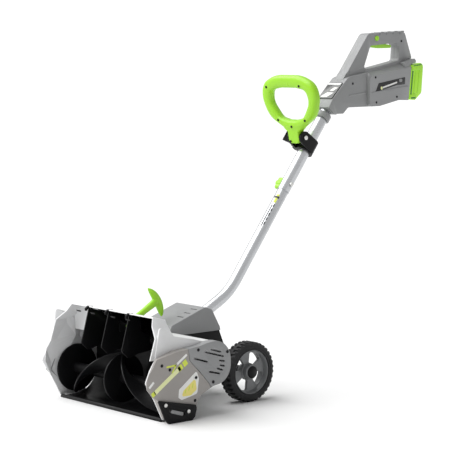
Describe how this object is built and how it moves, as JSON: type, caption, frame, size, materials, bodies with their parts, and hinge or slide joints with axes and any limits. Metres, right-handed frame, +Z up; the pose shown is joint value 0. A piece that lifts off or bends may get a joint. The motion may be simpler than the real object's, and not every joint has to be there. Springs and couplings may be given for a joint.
{
  "type": "cordless snow shovel",
  "caption": "Battery-driven snow shovel: an auger turns in a scoop, vanes steer the thrown snow, two wheels and a bent tube with two handles carry it.",
  "frame": {"origin": "on the ground under the middle of the machine's box", "axes": "+Z up, +Y from the scoop back to the rear handle, +X to the drive-cover side"},
  "size_m": [0.48, 1.1335, 0.9314],
  "materials": {
    "light_shell": "fine moulded grain",
    "side_cover_grey": "fine moulded grain",
    "mid_grey": "fine moulded grain",
    "rim_grey": "satin",
    "lime": "satin gloss",
    "black_plastic": "satin",
    "tyre": "matte",
    "belt_rubber": "matte",
    "aluminium": "satin anodised",
    "zinc_steel": "zinc plated",
    "dark_screw": "black oxide",
    "circuit_board": "solder mask",
    "cell_wrap": "shrink wrap"
  },
  "bodies": {
    "chassis": {"hood": "light_shell", "body_deck": "light_shell", "side_panel_left": "light_shell", "side_panel_right": "light_shell", "drive_cover_front": "side_cover_grey", "drive_cover_rear": "mid_grey", "end_cover_left": "mid_grey", "motor_hump": "mid_grey", "handle_shell_left": "mid_grey", "handle_shell_right": "mid_grey", "handle_collar": "mid_grey", "auger_housing": "black_plastic", "scraper_bar": "black_plastic", "skid_left": "black_plastic", "skid_right": "black_plastic", "under_frame": "black_plastic", "switch_block": "black_plastic", "display_panel": "black_plastic", "drive_belt": "belt_rubber", "lower_tube": "aluminium", "upper_tube": "aluminium", "skid_bolts": "zinc_steel", "joint_bolt": "zinc_steel", "wheel_axle": "zinc_steel", "auger_bearings": "zinc_steel", "motor_can": "zinc_steel", "tube_socket": "zinc_steel", "cover_screws": "dark_screw", "handle_screws": "dark_screw", "control_board": "circuit_board"},
    "auger": {"auger_flights": "black_plastic", "auger_shaft": "zinc_steel", "auger_pulley": "black_plastic"},
    "motor_armature": {"motor_rotor": "zinc_steel", "cooling_fan": "black_plastic", "motor_pulley": "black_plastic"},
    "wheel_left": {"tyre_left": "tyre", "rim_left": "rim_grey", "hub_cap_left": "black_plastic"},
    "wheel_right": {"tyre_right": "tyre", "rim_right": "rim_grey", "hub_cap_right": "black_plastic"},
    "deflector": {"vane_middle": "black_plastic", "steering_lever": "lime"},
    "side_vane_left": {"vane_left": "black_plastic"},
    "side_vane_right": {"vane_right": "black_plastic"},
    "vane_link": {"link_bar": "black_plastic"},
    "trigger": {"trigger": "lime"},
    "lock_button": {"lock_off_button": "lime"},
    "battery": {"battery_case": "lime", "battery_cells": "cell_wrap"},
    "latch": {"battery_latch": "lime"},
    "clamp": {"tube_clamp": "black_plastic", "pivot_bolt": "zinc_steel"},
    "loop_handle": {"loop_shell_front": "lime", "loop_shell_rear": "lime", "loop_screws": "dark_screw"},
    "cam": {"cam_lever": "black_plastic"},
    "knob": {"wing_knob": "lime"}
  },
  "joints": [
    {"name": "auger_spin", "type": "hinge", "parent": "chassis", "child": "auger", "pos_m": [0, -0.4549, 0.073], "axis": [1, 0, 0], "continuous": true},
    {"name": "motor_spin", "type": "hinge", "parent": "chassis", "child": "motor_armature", "pos_m": [0, -0.3469, 0.132], "axis": [1, 0, 0], "continuous": true},
    {"name": "wheel_left_spin", "type": "hinge", "parent": "chassis", "child": "wheel_left", "pos_m": [-0.144, -0.1749, 0.076], "axis": [1, 0, 0], "continuous": true},
    {"name": "wheel_right_spin", "type": "hinge", "parent": "chassis", "child": "wheel_right", "pos_m": [0.144, -0.1749, 0.076], "axis": [1, 0, 0], "continuous": true},
    {"name": "deflector_swivel", "type": "hinge", "parent": "chassis", "child": "deflector", "pos_m": [0, -0.4929, 0.24], "axis": [0, 0, 1], "range_deg": [-25, 25]},
    {"name": "left_vane_swivel", "type": "hinge", "parent": "chassis", "child": "side_vane_left", "pos_m": [-0.082, -0.4929, 0.24], "axis": [0, 0, 1], "range_deg": [-25, 25]},
    {"name": "right_vane_swivel", "type": "hinge", "parent": "chassis", "child": "side_vane_right", "pos_m": [0.082, -0.4929, 0.24], "axis": [0, 0, 1], "range_deg": [-25, 25]},
    {"name": "link_pivot", "type": "hinge", "parent": "deflector", "child": "vane_link", "pos_m": [0, -0.4269, 0.1765], "axis": [0, 0, 1], "range_deg": [-25, 25]},
    {"name": "trigger_pull", "type": "hinge", "parent": "chassis", "child": "trigger", "pos_m": [0, 0.3831, 0.9], "axis": [1, 0, 0], "range_deg": [0, 6], "stiffness_Nm_per_rad": 0.4, "springref_deg": -14.32},
    {"name": "lock_off_press", "type": "slide", "parent": "chassis", "child": "lock_button", "axis": [-1, 0, 0], "range_m": [0, 0.006], "stiffness_N_per_m": 250, "springref_m": -0.004},
    {"name": "battery_slide", "type": "slide", "parent": "chassis", "child": "battery", "axis": [0, 0.9848, 0.1736], "range_m": [0, 0.12]},
    {"name": "battery_latch_press", "type": "slide", "parent": "battery", "child": "latch", "axis": [0, 0.1736, -0.9848], "range_m": [0, 0.0025], "stiffness_N_per_m": 300, "springref_m": -0.003},
    {"name": "clamp_slide", "type": "slide", "parent": "chassis", "child": "clamp", "axis": [0, 0.5976, 0.8018], "range_m": [-0.06, 0.04]},
    {"name": "loop_handle_tilt", "type": "hinge", "parent": "clamp", "child": "loop_handle", "pos_m": [0, 0.13204, 0.64904], "axis": [1, 0, 0], "range_deg": [-20, 45]},
    {"name": "cam_open", "type": "hinge", "parent": "clamp", "child": "cam", "pos_m": [-0.034, 0.1593, 0.62872], "axis": [0, 0.5976, 0.8018], "range_deg": [-100, 0]},
    {"name": "wing_knob_turn", "type": "hinge", "parent": "chassis", "child": "knob", "pos_m": [-0.025, 0.09102, 0.52708], "axis": [1, 0, 0], "continuous": true}
  ],
  "couplings": [
    {"joint": "motor_spin", "follows": "auger_spin", "ratio": 2.8333},
    {"joint": "left_vane_swivel", "follows": "deflector_swivel", "ratio": 1},
    {"joint": "right_vane_swivel", "follows": "deflector_swivel", "ratio": 1},
    {"joint": "link_pivot", "follows": "deflector_swivel", "ratio": -1}
  ]
}
